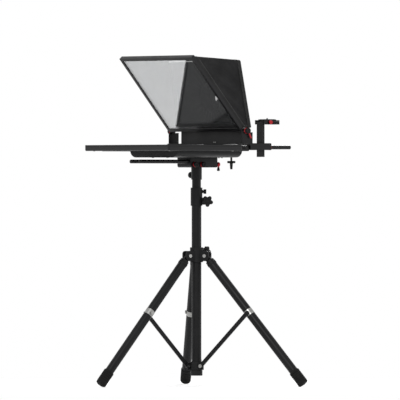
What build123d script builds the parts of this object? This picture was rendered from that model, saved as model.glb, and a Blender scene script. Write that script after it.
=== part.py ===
"""Teleprompter on a folding column stand.

Frame: origin on the floor under the column axis, +Z up, +X towards the camera,
-X towards the presenter. Millimetres.
"""
import os
from math import atan2, cos, degrees, hypot, radians, sin

from build123d import *

os.makedirs("parts", exist_ok=True)

# ---------------------------------------------------------------- driving sizes
RUN = 0.05                 # radial running clearance of a shaft in its bore
GAP = 0.4                  # clearance between faces that pass each other

# stand
COLUMN_R = 19.0            # lower column, outside
COLUMN_TOP = 715.0
COLUMN_BORE_GAP = 0.3      # mast to column wall
MAST_R = 17.5
MAST_WALL = 2.0
MAST_BOTTOM = 120.0
MAST_TOP = 853.0
CAP_R, CAP_Z0, CAP_H = 23.5, 41.0, 23.0
HUB_R, HUB_Z0, HUB_Z1 = 24.5, 64.0, 96.0
LEG_AZIMUTHS = (180.0, 60.0, -60.0)
LEG_R = 17.5
LEG_WALL = 1.6
LEG_ANGLE = 40.0           # from vertical
LEG_PIVOT_R, LEG_PIVOT_Z = 40.7, 510.4
LEG_TUBE_START = 30.0      # tube begins this far below the pivot
FOOT_R, FOOT_LENGTH, FOOT_EDGE = 21.0, 64.0, 3.0
STRUT_PIVOT_R, STRUT_PIVOT_Z = 27.4, 78.8
STRUT_LENGTH = 290.0
STRUT_WIDTH, STRUT_THICK = 16.0, 5.0
STRUT_GAP = 1.0            # strut to leg tube
PIN_R = 4.0
YOKE_Z0, YOKE_Z1 = 486.0, 544.0
YOKE_R = 25.5
YOKE_ARM_R = 58.0          # how far the fork reaches
TONGUE_THICK = 14.0
EAR_THICK = 7.0
COLLAR_R, COLLAR_Z0, COLLAR_Z1 = 23.0, 707.0, 778.0
BUSH_WALL = 2.0
VIEW_TURN = -35.5          # azimuth of the clamp ears and the pull pin
KNOB_OFFSET = 43.0
KNOB_Z = 725.0
KNOB_R, KNOB_T = 22.5, 15.0
PULL_Z, PULL_REACH = 762.6, 38.0

# head
SLEEVE_R, SLEEVE_Z0 = 21.0, 809.5
HEAD_KNOB_Z, HEAD_KNOB_R = 827.5, 12.5
BRACKET_X0, BRACKET_X1, BRACKET_HALF, BRACKET_Z0, BRACKET_Z1 = -60.0, 69.0, 45.0, 857.0, 893.0
ROD_R = 7.5
ROD_HALF = 30.0            # half the rod spacing
FRONT_ROD_Z = 880.0
FRONT_ROD_X0, FRONT_ROD_X1 = -296.0, 64.0
ROD_KNOBS_X = (-40.0, -4.0)
TRAY_X0, TRAY_X1, TRAY_HALF, TRAY_Z0, TRAY_Z1 = -204.0, 104.0, 161.0, 896.0, 921.6
TRAY_WALL, TRAY_END = 2.0, 40.0
MON_X0, MON_LENGTH, MON_WIDTH, MON_T = -336.0, 352.0, 570.0, 23.1
BEZEL, BEZEL_T, MON_WALL = 16.0, 6.0, 2.5
SPINE_X0, SPINE_X1, SPINE_HALF, SPINE_T, SPINE_FLANGE = 60.0, 218.0, 50.0, 4.4, 10.4
MOUNT_X0, MOUNT_X1, MOUNT_Z1 = 68.0, 184.0, 947.5
REAR_ROD_Z, REAR_ROD_X0, REAR_ROD_X1 = 936.5, 80.0, 432.0
ROD_EDGE, GROOVE_W, GROOVE_DEPTH = 3.0, 1.0, 0.5
FRONT_ROD_FREE, REAR_ROD_FREE = 87.0, 79.0   # from the rod's end to its stop-ring groove
TSCREW_X, TSCREW_BAR, TSCREW_R = 168.0, 32.0, 4.0

# hood
BASE_X0, BASE_X1, BASE_T = 38.0, 90.0, 4.0
FRAME_HALF = 246.0
FRAME_TILT = 50.2          # from horizontal
FRAME_X = 39.0             # front plane at the hinge height
FRAME_LENGTH, FRAME_LOW = 373.0, -2.6
RAIL, FRAME_T = 14.0, 14.0
GLASS_T, GLASS_REBATE = 3.0, 4.0
HINGE_X, HINGE_Z, HINGE_EYE = 60.0, 1000.0, 10.0
HINGE_KNOB_R = 12.0
CHEEK_T = 4.5
APRON_X0, APRON_T, APRON_HALF, APRON_Z1 = 70.0, 17.0, 202.0, 1010.0
CLOTH_T, CLOTH_INSET = 2.0, 3.0
REAR_TOP_X, REAR_TOP_Z, REAR_LOW_X = 40.0, 1280.0, 90.0
REAR_STRIP, REAR_FRAME_T = 20.0, 6.0
LENS_Z, LENS_R = 1130.0, 60.0
SLEEVE_LENGTH = 34.0

# camera support
RISER_X0, RISER_X1, RISER_HALF, RISER_Z0, RISER_Z1 = 229.0, 330.0, 45.0, 926.0, 953.0
POST_X, POST_TX, POST_TY, POST_Z0 = 310.0, 13.0, 35.0, 899.0
PLATE_X, PLATE_L, PLATE_W, PLATE_Z0, PLATE_Z1 = 342.0, 80.0, 60.0, 1027.0, 1044.0
QR_L, QR_W, QR_T = 60.0, 38.0, 9.0
CAMERA_SCREW_R, CAMERA_SCREW_L, CAMERA_SCREW_RELIEF = 3.175, 5.0, 0.5

# pivot to the foot's flat end, along the axis, so that the foot's rounded rim just meets the floor
LEG_LENGTH = (LEG_PIVOT_Z - (FOOT_R - FOOT_EDGE) * sin(radians(LEG_ANGLE))
              - FOOT_EDGE * (1 - cos(radians(LEG_ANGLE)))) / cos(radians(LEG_ANGLE))
MON_Z0 = TRAY_Z1
MON_Z1 = MON_Z0 + MON_T
CLOTH_HALF = FRAME_HALF - CLOTH_INSET
MON_X1 = MON_X0 + MON_LENGTH
MON_HALF = MON_WIDTH / 2
BASE_Z1 = MOUNT_Z1 + BASE_T
MIN = (Align.CENTER, Align.CENTER, Align.MIN)


# ---------------------------------------------------------------- helpers
def save(node, *solids):
    """Write one node; several solids stay separate in one file."""
    shape = solids[0] if len(solids) == 1 else Compound(children=list(solids))
    export_step(shape, f"parts/{node}.step")


def block(x0, x1, y0, y1, z0, z1):
    """A box between two corners."""
    return Pos((x0 + x1) / 2, (y0 + y1) / 2, (z0 + z1) / 2) * Box(x1 - x0, y1 - y0, z1 - z0)


def rod(start, direction, radius, length):
    """A cylinder that starts at a point and runs along a direction."""
    return Plane(origin=start, z_dir=direction) * Cylinder(radius, length, align=MIN)


def tube(start, direction, radius, bore, length):
    return rod(start, direction, radius, length) - rod(start, direction, bore, length)


def soft_rod(start, direction, radius, length, edge):
    """A cylinder with both rims rounded."""
    shape = Cylinder(radius, length, align=MIN)
    shape = fillet(shape.edges().filter_by(GeomType.CIRCLE), edge)
    return Plane(origin=start, z_dir=direction) * shape


def lobed(start, direction, radius, thick, lobes=5):
    """A hand knob with round lobes, its back face at start."""
    face = Circle(radius * 0.72)
    for i in range(lobes):
        turn = radians(360 / lobes * i + 90)
        face += Pos(radius * 0.66 * cos(turn), radius * 0.66 * sin(turn)) * Circle(radius * 0.34)
    shape = extrude(face, thick)
    shape = chamfer(shape.faces().sort_by(Axis.Z)[-1].edges(), thick * 0.12)
    return Plane(origin=start, z_dir=direction) * shape


def ring_knob(start, direction, radius, thick, teeth=16):
    """A round knob with grip notches."""
    face = Circle(radius)
    for i in range(teeth):
        turn = radians(360 / teeth * i)
        face -= Pos(radius * cos(turn), radius * sin(turn)) * Circle(radius * 0.09)
    return Plane(origin=start, z_dir=direction) * extrude(face, thick)


def groove(x, y, z):
    """The cut for a stop ring round a rod that runs along X."""
    return tube((x, y, z), (1, 0, 0), ROD_R + 1, ROD_R - GROOVE_DEPTH, GROOVE_W)


def turned(azimuth, shape):
    """Turn a shape built along +X about the column axis."""
    return Rot(0, 0, azimuth) * shape


def polar(azimuth, radius, z, side=0.0):
    """A point at an azimuth; side is to the right of the outward direction."""
    a = radians(azimuth)
    return (radius * cos(a) + side * sin(a), radius * sin(a) - side * cos(a), z)


# ---------------------------------------------------------------- stand
def stand():
    up = (0, 0, 1)
    bore = MAST_R + COLUMN_BORE_GAP
    save("lower_column", tube((0, 0, CAP_Z0 + 6), up, COLUMN_R, bore, COLUMN_TOP - CAP_Z0 - 6))
    cap = soft_rod((0, 0, CAP_Z0), up, CAP_R, CAP_H, 3)
    save("column_cap", cap - rod((0, 0, CAP_Z0 + 6), up, COLUMN_R, CAP_H))
    hub = tube((0, 0, HUB_Z0), up, HUB_R, COLUMN_R, HUB_Z1 - HUB_Z0)
    strut_in = LEG_R + STRUT_GAP
    pins = []
    for azimuth in LEG_AZIMUTHS:
        lug = block(8, STRUT_PIVOT_R + 8, -strut_in + GAP, -strut_in + GAP + 9, HUB_Z0, HUB_Z1 - 4)
        lug -= rod((0, 0, HUB_Z0), up, COLUMN_R, HUB_Z1 - HUB_Z0)
        pin_hole = rod((STRUT_PIVOT_R, -strut_in + GAP + 9, STRUT_PIVOT_Z), (0, -1, 0), PIN_R, 9)
        hub = hub + turned(azimuth, lug) - turned(azimuth, pin_hole)
        pin = rod((STRUT_PIVOT_R, -strut_in + GAP + 9, STRUT_PIVOT_Z), (0, -1, 0), PIN_R, 9 + STRUT_THICK + 2 * GAP)
        head = rod((STRUT_PIVOT_R, -strut_in - STRUT_THICK - GAP, STRUT_PIVOT_Z), (0, -1, 0), PIN_R + 3, 3)
        pins.append(turned(azimuth, pin + head))
    save("hub", hub)
    save("hub_pins", *pins)

    collar = rod((0, 0, COLLAR_Z0), up, COLLAR_R, COLLAR_Z1 - COLLAR_Z0)
    ears = turned(VIEW_TURN, block(15, KNOB_OFFSET + 11, -9, 9, COLLAR_Z0 + 4, COLLAR_Z0 + 32))
    collar += fillet(ears.edges().filter_by(Axis.Z), 4)
    collar += rod((0, 0, PULL_Z), polar(VIEW_TURN, 1, 0), 6, COLLAR_R + 4)
    collar -= rod((0, 0, COLLAR_Z0), up, COLUMN_R, COLUMN_TOP - COLLAR_Z0)
    collar -= rod((0, 0, COLUMN_TOP), up, MAST_R + BUSH_WALL, COLLAR_Z1 - COLUMN_TOP)
    collar -= turned(VIEW_TURN, block(0, KNOB_OFFSET + 12, -1, 1, COLLAR_Z0 - 1, COLLAR_Z0 + 40))
    toward = polar(VIEW_TURN - 90, 1, 0)
    bolt_start = polar(VIEW_TURN, KNOB_OFFSET, KNOB_Z, side=-14)
    collar -= rod(bolt_start, toward, PIN_R + RUN, 40)
    pull_dir = polar(VIEW_TURN, 1, 0)
    collar -= rod((0, 0, PULL_Z), pull_dir, 3 + RUN, 60)
    save("mast_collar", collar)
    bush = tube((0, 0, COLUMN_TOP), up, MAST_R + BUSH_WALL, MAST_R + RUN, COLLAR_Z1 - COLUMN_TOP)
    save("mast_bush", bush - rod((0, 0, PULL_Z), pull_dir, 3.2, 60))
    knob = lobed(polar(VIEW_TURN, KNOB_OFFSET, KNOB_Z, side=12.5), toward, KNOB_R, KNOB_T)
    save("mast_knob", knob + rod(bolt_start, toward, PIN_R, 28))
    pull = rod(polar(VIEW_TURN, MAST_R + RUN + 0.2, PULL_Z), pull_dir, 3, 14)
    save("pull_pin", pull + ring_knob(polar(VIEW_TURN, COLLAR_R + 4 + GAP, PULL_Z), pull_dir, 9,
                                      PULL_REACH - COLLAR_R - 4))
    save("upper_mast", tube((0, 0, MAST_BOTTOM), up, MAST_R, MAST_R - MAST_WALL, MAST_TOP - MAST_BOTTOM))


def yoke():
    up = (0, 0, 1)
    body = rod((0, 0, YOKE_Z0), up, YOKE_R, YOKE_Z1 - YOKE_Z0)
    pins = []
    half = TONGUE_THICK / 2 + GAP
    for azimuth in LEG_AZIMUTHS:
        for side in (-1, 1):
            inner, outer = side * half, side * (half + EAR_THICK)
            ear = block(15, YOKE_ARM_R, min(inner, outer), max(inner, outer), YOKE_Z0 + 4, YOKE_Z1 - 14)
            ear = fillet(ear.edges().filter_by(Axis.Y).sort_by(Axis.X)[-2:], 12)
            ear -= rod((LEG_PIVOT_R, -30, LEG_PIVOT_Z), (0, 1, 0), PIN_R, 60)
            body += turned(azimuth, ear)
        pin = rod((LEG_PIVOT_R, -half - EAR_THICK, LEG_PIVOT_Z), (0, 1, 0), PIN_R, 2 * (half + EAR_THICK))
        ends = rod((LEG_PIVOT_R, -half - EAR_THICK, LEG_PIVOT_Z), (0, -1, 0), PIN_R + 3, 3)
        ends += rod((LEG_PIVOT_R, half + EAR_THICK, LEG_PIVOT_Z), (0, 1, 0), PIN_R + 3, 3)
        pins.append(turned(azimuth, pin + ends))
    knob_z = (YOKE_Z0 + YOKE_Z1) / 2 + 11
    body += rod((0, 0, knob_z), (1, 0, 0), 12, YOKE_R + 14)
    body -= rod((0, 0, YOKE_Z0 - 1), up, COLUMN_R + RUN, YOKE_Z1 - YOKE_Z0 + 2)
    body -= rod((0, 0, knob_z), (1, 0, 0), PIN_R + RUN, 80)
    save("yoke", body)
    save("yoke_pins", *pins)
    knob = lobed((YOKE_R + 14 + GAP, 0, knob_z), (1, 0, 0), KNOB_R, KNOB_T)
    save("yoke_knob", knob + rod((COLUMN_R + 0.3, 0, knob_z), (1, 0, 0), PIN_R, 24))


def legs():
    down = (sin(radians(LEG_ANGLE)), 0, -cos(radians(LEG_ANGLE)))
    pivot = Vector(LEG_PIVOT_R, 0, LEG_PIVOT_Z)
    along = lambda s: pivot + Vector(*down) * s
    strut_in = LEG_R + STRUT_GAP
    bolt_at = along(STRUT_LENGTH)
    strut_end = Vector(STRUT_PIVOT_R, 0, STRUT_PIVOT_Z)
    strut_tilt = atan2(bolt_at.X - strut_end.X, bolt_at.Z - strut_end.Z)
    strut_span = hypot(bolt_at.X - strut_end.X, bolt_at.Z - strut_end.Z)

    tongue = Plane(origin=tuple(pivot), x_dir=(0, 1, 0), z_dir=down)
    plug = tongue * (Pos(0, 0, (LEG_TUBE_START + 18) / 2 + 4) * Box(TONGUE_THICK, 22, LEG_TUBE_START + 10))
    plug += rod(tuple(pivot - Vector(0, TONGUE_THICK / 2, 0)), (0, 1, 0), 11, TONGUE_THICK)
    inner = LEG_R - LEG_WALL
    plug += rod(tuple(along(LEG_TUBE_START)), down, inner, 30)
    plug += rod(tuple(along(LEG_TUBE_START - 5)), down, LEG_R, 5)
    plug -= rod((LEG_PIVOT_R, -20, LEG_PIVOT_Z), (0, 1, 0), PIN_R + RUN, 40)
    tube_end = LEG_LENGTH - 8
    leg = tube(tuple(along(LEG_TUBE_START)), down, LEG_R, inner, tube_end - LEG_TUBE_START)
    leg -= rod((bolt_at.X, -40, bolt_at.Z), (0, 1, 0), PIN_R, 80)
    foot = Cylinder(FOOT_R, FOOT_LENGTH, align=MIN)
    foot = fillet(foot.edges().filter_by(GeomType.CIRCLE), FOOT_EDGE)
    foot = Plane(origin=tuple(along(LEG_LENGTH - FOOT_LENGTH)), z_dir=down) * foot
    foot -= rod(tuple(along(0)), down, LEG_R, tube_end)
    band = tube(tuple(along(STRUT_LENGTH - 12)), down, LEG_R + 0.8, LEG_R, 24)
    band -= rod((bolt_at.X, -40, bolt_at.Z), (0, 1, 0), PIN_R, 80)
    bolt = rod((bolt_at.X, -strut_in + 0.3, bolt_at.Z), (0, 1, 0), PIN_R, strut_in + LEG_R + 6)
    bolt += rod((bolt_at.X, LEG_R + 1, bolt_at.Z), (0, 1, 0), PIN_R + 3, 5)

    bar = Plane(origin=tuple(strut_end), x_dir=(0, 1, 0), z_dir=(sin(strut_tilt), 0, cos(strut_tilt)))
    flat = bar * (Pos(-strut_in - STRUT_THICK / 2, 0, strut_span / 2) * Box(STRUT_THICK, STRUT_WIDTH, strut_span))
    for point in (strut_end, bolt_at):
        flat += rod((point.X, -strut_in, point.Z), (0, -1, 0), STRUT_WIDTH / 2, STRUT_THICK)
    flat -= rod((strut_end.X, 0, strut_end.Z), (0, -1, 0), PIN_R + RUN, 40)
    rivet = rod((bolt_at.X, -strut_in - STRUT_THICK, bolt_at.Z), (0, -1, 0), PIN_R + 3, 5)
    for i, azimuth in enumerate(LEG_AZIMUTHS, 1):
        save(f"leg_end_{i}", turned(azimuth, plug))
        save(f"leg_tube_{i}", turned(azimuth, leg))
        save(f"rubber_foot_{i}", turned(azimuth, foot))
        save(f"leg_clamp_{i}", turned(azimuth, band), turned(azimuth, bolt))
        save(f"strut_{i}", turned(azimuth, flat), turned(azimuth, rivet))


# ---------------------------------------------------------------- head
def head_support():
    up = (0, 0, 1)
    sleeve = rod((0, 0, SLEEVE_Z0), up, SLEEVE_R, BRACKET_Z0 - SLEEVE_Z0)
    sleeve += rod((0, 0, HEAD_KNOB_Z), (0, 1, 0), 9, SLEEVE_R + 5)
    sleeve -= rod((0, 0, SLEEVE_Z0 - 1), up, MAST_R + RUN, MAST_TOP + 1 - SLEEVE_Z0)
    sleeve -= rod((0, 0, HEAD_KNOB_Z), (0, 1, 0), PIN_R + RUN, 60)
    save("head_sleeve", sleeve)
    knob = ring_knob((0, SLEEVE_R + 5 + GAP, HEAD_KNOB_Z), (0, 1, 0), HEAD_KNOB_R, 14)
    save("head_knob", knob + rod((0, MAST_R + 0.3, HEAD_KNOB_Z), (0, 1, 0), PIN_R, 12))

    bracket = block(BRACKET_X0, BRACKET_X1, -BRACKET_HALF, BRACKET_HALF, BRACKET_Z0, TRAY_Z0)
    bracket = fillet(bracket.edges().filter_by(Axis.Y).sort_by(Axis.Z)[:2], 8)
    for side in (-1, 1):
        bracket -= rod((BRACKET_X0 - 1, side * ROD_HALF, FRONT_ROD_Z), (1, 0, 0), ROD_R + RUN, 140)
    bracket -= block(BRACKET_X0 + 10, BRACKET_X1 - 10, -ROD_HALF + 14, ROD_HALF - 14, FRONT_ROD_Z - 8, TRAY_Z0)
    knob_z = FRONT_ROD_Z - 11
    for x in ROD_KNOBS_X:
        bracket -= rod((x, -BRACKET_HALF, knob_z), (0, 1, 0), 3 + RUN, 10)
    bracket -= rod((BRACKET_X1, -BRACKET_HALF + 8, knob_z), (-1, 0, 0), 3 + RUN, 10)
    save("head_bracket", bracket)
    for i, x in enumerate(ROD_KNOBS_X, 1):
        knob = ring_knob((x, -BRACKET_HALF - GAP, knob_z), (0, -1, 0), 10.5, 14)
        save(f"rod_knob_{i}", knob + rod((x, -BRACKET_HALF + 8, knob_z), (0, -1, 0), 3, 10))
    lever_y = -BRACKET_HALF + 8
    lever = rod((BRACKET_X1 + GAP, lever_y, knob_z), (1, 0, 0), 9, 11)
    lever += rod((BRACKET_X1 - 8, lever_y, knob_z), (1, 0, 0), 3, 12)
    lever += rod((BRACKET_X1 + 8, lever_y, knob_z - 6), (0, 0, -1), 3.5, 8)
    grip = Cone(5.2, 6.6, 12, align=MIN)
    lever += Pos(BRACKET_X1 + 8, lever_y, knob_z - 26) * grip
    save("clamp_lever", lever)
    rods = []
    for side in (-1, 1):
        length = FRONT_ROD_X1 - FRONT_ROD_X0
        bar = soft_rod((FRONT_ROD_X0, side * ROD_HALF, FRONT_ROD_Z), (1, 0, 0), ROD_R, length, ROD_EDGE)
        rods.append(bar - groove(FRONT_ROD_X0 + FRONT_ROD_FREE, side * ROD_HALF, FRONT_ROD_Z))
    save("front_rods", *rods)


def tray_outline(inset):
    """Section across the tray: flat bottom with quarter-ellipse ends."""
    half, low, high = TRAY_HALF - inset, TRAY_Z0 + inset, TRAY_Z1
    corner, depth = TRAY_END - inset, high - low
    with BuildSketch(Plane.YZ) as sketch:
        with BuildLine():
            Line((-half + corner, low), (half - corner, low))
            EllipticalCenterArc((half - corner, high), corner, depth, start_angle=-90, arc_size=90)
            Line((half, high), (-half, high))
            EllipticalCenterArc((-half + corner, high), corner, depth, start_angle=180, arc_size=90)
        make_face()
    return sketch.sketch


def tray_and_monitor():
    tray = Pos(TRAY_X0, 0, 0) * extrude(tray_outline(0), TRAY_X1 - TRAY_X0)
    tray -= Pos(TRAY_X0 + TRAY_WALL, 0, 0) * extrude(tray_outline(TRAY_WALL), TRAY_X1 - TRAY_X0 - 2 * TRAY_WALL)
    save("tray", tray)

    back = block(MON_X0, MON_X1, -MON_HALF, MON_HALF, MON_Z0, MON_Z1 - BEZEL_T)
    back = fillet(back.edges().filter_by(Axis.Z), 6)
    back = chamfer(back.faces().sort_by(Axis.Z)[0].edges(), 3)
    inner = (MON_X0 + MON_WALL, MON_X1 - MON_WALL, -MON_HALF + MON_WALL, MON_HALF - MON_WALL)
    back -= block(*inner, MON_Z0 + MON_WALL, MON_Z1)
    socket_y = 70.0
    back -= block(MON_X1 - 5, MON_X1 + 1, socket_y - 8, socket_y + 8, MON_Z0 + 5, MON_Z0 + 12)
    button = (MON_X1 - 8, -MON_HALF + 60, MON_Z0)
    back -= rod(button, (0, 0, 1), 4 + RUN, 5)
    save("monitor_back", back)
    save("power_button", rod((button[0], button[1], MON_Z0 - 1.6), (0, 0, 1), 4, 5))
    bezel = block(MON_X0, MON_X1, -MON_HALF, MON_HALF, MON_Z1 - BEZEL_T, MON_Z1)
    bezel = fillet(bezel.edges().filter_by(Axis.Z), 6)
    screen = (MON_X0 + BEZEL, MON_X1 - BEZEL, -MON_HALF + BEZEL, MON_HALF - BEZEL)
    bezel -= block(*screen, MON_Z1 - BEZEL_T, MON_Z1)
    save("monitor_bezel", bezel)
    save("monitor_screen", block(*screen, MON_Z1 - 4.6, MON_Z1 - 1.4))
    save("monitor_board", block(MON_X0 + 90, MON_X0 + 240, -90, 90, MON_Z0 + 6, MON_Z0 + 12))


def spine():
    z0 = TRAY_Z1
    plate = block(SPINE_X0, SPINE_X1, -SPINE_HALF, SPINE_HALF, z0, z0 + SPINE_T)
    for side in (-1, 1):
        y0, y1 = sorted((side * (SPINE_HALF - 4), side * SPINE_HALF))
        plate += block(MOUNT_X1 + GAP, SPINE_X1, y0, y1, z0, z0 + SPINE_FLANGE)
    plate = fillet(plate.edges().filter_by(Axis.Z).sort_by(Axis.X)[-4:], 1.5)
    plate -= rod((TSCREW_X, 0, z0), (0, 0, 1), TSCREW_R + RUN, 20)
    save("spine_plate", plate)
    mount = block(MOUNT_X0, MOUNT_X1, -SPINE_HALF, SPINE_HALF, z0 + SPINE_T, MOUNT_Z1)
    mount = chamfer(mount.faces().sort_by(Axis.Z)[-1].edges().filter_by(Axis.X), 3)
    for side in (-1, 1):
        mount -= rod((REAR_ROD_X0, side * ROD_HALF, REAR_ROD_Z), (1, 0, 0), ROD_R, 200)
    mount -= rod((TSCREW_X, 0, z0), (0, 0, 1), TSCREW_R + RUN, SPINE_T + 10)
    save("rod_mount", mount)
    stem_low = FRONT_ROD_Z - 6
    screw = rod((TSCREW_X, 0, stem_low), (0, 0, 1), TSCREW_R, z0 + SPINE_T + 8 - stem_low)
    bar = soft_rod((-TSCREW_BAR / 2, 0, 0), (1, 0, 0), 4.5, TSCREW_BAR, 2)
    screw += Pos(TSCREW_X, 0, FRONT_ROD_Z - 1.5) * turned(VIEW_TURN, bar)
    screw += Pos(TSCREW_X, 0, stem_low - 24) * Cone(4.5, 6.3, 24, align=MIN)
    save("t_screw", screw)
    rods = []
    for side in (-1, 1):
        length = REAR_ROD_X1 - REAR_ROD_X0
        bar = soft_rod((REAR_ROD_X0, side * ROD_HALF, REAR_ROD_Z), (1, 0, 0), ROD_R, length, ROD_EDGE)
        rods.append(bar - groove(REAR_ROD_X1 - REAR_ROD_FREE - GROOVE_W, side * ROD_HALF, REAR_ROD_Z))
    save("rear_rods", *rods)


# ---------------------------------------------------------------- hood
def hood_support():
    outer = FRAME_HALF + 1 + CHEEK_T
    base = block(BASE_X0, BASE_X1, -outer, outer, MOUNT_Z1, BASE_Z1)
    for side in (-1, 1):
        y0, y1 = sorted((side * (FRAME_HALF + 1), side * outer))
        base += block(BASE_X0 + 6, BASE_X1, y0, y1, BASE_Z1, HINGE_Z - HINGE_EYE + 4)
        eye = rod((HINGE_X, y0, HINGE_Z), (0, 1, 0), HINGE_EYE, CHEEK_T)
        base += eye + block(HINGE_X - HINGE_EYE, HINGE_X + HINGE_EYE, y0, y1, HINGE_Z - HINGE_EYE, HINGE_Z)
        base -= rod((HINGE_X, y0 - 1, HINGE_Z), (0, 1, 0), PIN_R + RUN, CHEEK_T + 2)
    save("hood_base", base)
    apron = block(APRON_X0, APRON_X0 + APRON_T, -APRON_HALF, APRON_HALF, BASE_Z1, APRON_Z1)
    apron = fillet(apron.edges().filter_by(Axis.Y).sort_by(Axis.Z)[-2:], 2)
    apron -= block(APRON_X0 + 2, APRON_X0 + APRON_T + 1, -APRON_HALF + 2, APRON_HALF - 2, BASE_Z1 + 2, APRON_Z1 - 3)
    save("apron", apron)
    screws = []
    for y in (-31.0, -21.5):
        screws.append(rod((APRON_X0, y, BASE_Z1 + 4.5), (-1, 0, 0), 2.6, 1.6))
    for x in (TRAY_X1 - 24, TRAY_X1 - 10):
        for y in (-40, 40):
            screws.append(rod((x, y, TRAY_Z0), (0, 0, -1), 3.5, 2.5))
    save("plate_screws", *screws)
    for name, side in (("near", -1), ("far", 1)):
        start = (HINGE_X, side * (outer + GAP), HINGE_Z)
        knob = ring_knob(start, (0, side, 0), HINGE_KNOB_R, 16)
        stem = rod((HINGE_X, side * (FRAME_HALF + 1), HINGE_Z), (0, side, 0), PIN_R, CHEEK_T + 1)
        arm = rod((HINGE_X, side * (outer + 10), HINGE_Z), (0.5, 0, -0.87), 3.2, 34)
        save(f"hinge_knob_{name}", knob + stem + arm)


def hood():
    tilt = radians(FRAME_TILT)
    slope = Vector(-cos(tilt), 0, sin(tilt))
    depth = Vector(sin(tilt), 0, cos(tilt))
    origin = Vector(FRAME_X, 0, HINGE_Z)
    plane = Plane(origin=tuple(origin), x_dir=(0, 1, 0), z_dir=tuple(depth))
    mid = FRAME_LOW + FRAME_LENGTH / 2

    def slab(half, length, z0, z1):
        return plane * (Pos(0, mid, (z0 + z1) / 2) * Box(2 * half, length, z1 - z0))

    frame = slab(FRAME_HALF, FRAME_LENGTH, 0, FRAME_T)
    frame = fillet(frame.edges().filter_by(Axis(tuple(origin), tuple(depth))), 4)
    inner_half, inner_len = FRAME_HALF - RAIL, FRAME_LENGTH - 2 * RAIL
    frame -= slab(inner_half, inner_len, -1, FRAME_T + 1)
    glass_half, glass_len = inner_half + GLASS_REBATE, inner_len + 2 * GLASS_REBATE
    frame -= slab(glass_half, glass_len, 2, 2 + GLASS_T)
    for side in (-1, 1):
        y0, y1 = sorted((side * (FRAME_HALF - 6), side * FRAME_HALF))
        lug = rod((HINGE_X, y0, HINGE_Z), (0, 1, 0), HINGE_EYE, 6)
        lug += block(HINGE_X - 14, HINGE_X, y0, y1, HINGE_Z, HINGE_Z + HINGE_EYE)
        frame += lug - slab(FRAME_HALF - 10, FRAME_LENGTH, 2, 6)
    save("glass_frame", frame)
    save("beam_splitter", slab(glass_half, glass_len, 2, 2 + GLASS_T))

    def on_frame(s, d):
        point = origin + slope * s + depth * d
        return (point.X, point.Z)

    back_low = HINGE_Z + HINGE_EYE + 2
    behind = FRAME_T + GAP
    start = on_frame((back_low - HINGE_Z - behind * cos(tilt)) / sin(tilt), behind)
    top = on_frame(FRAME_LENGTH + FRAME_LOW - 4, behind)
    rear_top, rear_low = (REAR_TOP_X, REAR_TOP_Z), (REAR_LOW_X, back_low)
    sag = ((top[0] + REAR_TOP_X) / 2, (top[1] + REAR_TOP_Z) / 2 - 2.5)
    outline = [start, top, sag, rear_top, rear_low]
    below = 5.0
    lean_run = (REAR_LOW_X - REAR_TOP_X) / (REAR_TOP_Z - back_low)

    def prism(points, half):
        with BuildSketch(Plane.XZ) as sketch:
            with BuildLine():
                Polyline(*points, close=True)
            make_face()
        return Pos(0, half, 0) * extrude(sketch.sketch, 2 * half)

    t = CLOTH_T
    hollow = [(start[0] - 60, back_low - below), (top[0] - 60, top[1] + 5 - t), (top[0] + 4, top[1] - 2 * t),
              (sag[0], sag[1] - t), (rear_top[0] - t, rear_top[1] - t),
              (rear_low[0] - t + below * lean_run, back_low - below)]
    cloth = prism(outline, CLOTH_HALF) - prism(hollow, CLOTH_HALF - t)
    lens = rod((REAR_LOW_X - 60, 0, LENS_Z), (1, 0, 0), LENS_R, 120)
    rear_x = REAR_LOW_X - (LENS_Z - back_low) * lean_run
    sleeve = tube((rear_x - 12, 0, LENS_Z), (1, 0, 0), LENS_R + t, LENS_R, SLEEVE_LENGTH + 12)
    save("hood_cloth", (cloth - lens) + (sleeve - prism(hollow, CLOTH_HALF - t)))

    lean = atan2(REAR_LOW_X - REAR_TOP_X, REAR_TOP_Z - back_low)
    run = hypot(REAR_LOW_X - REAR_TOP_X, REAR_TOP_Z - back_low) - 2 * t - 4
    rear = Plane(origin=(REAR_LOW_X - t - GAP, 0, back_low), x_dir=(0, 1, 0), z_dir=(-sin(lean), 0, cos(lean)))
    half = CLOTH_HALF - t - GAP
    ring = rear * (Pos(0, REAR_FRAME_T / 2, run / 2) * Box(2 * half, REAR_FRAME_T, run))
    ring -= rear * (Pos(0, REAR_FRAME_T / 2, run / 2) * Box(2 * half - 2 * REAR_STRIP, 30, run - 2 * REAR_STRIP))
    save("rear_frame", ring)


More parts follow.
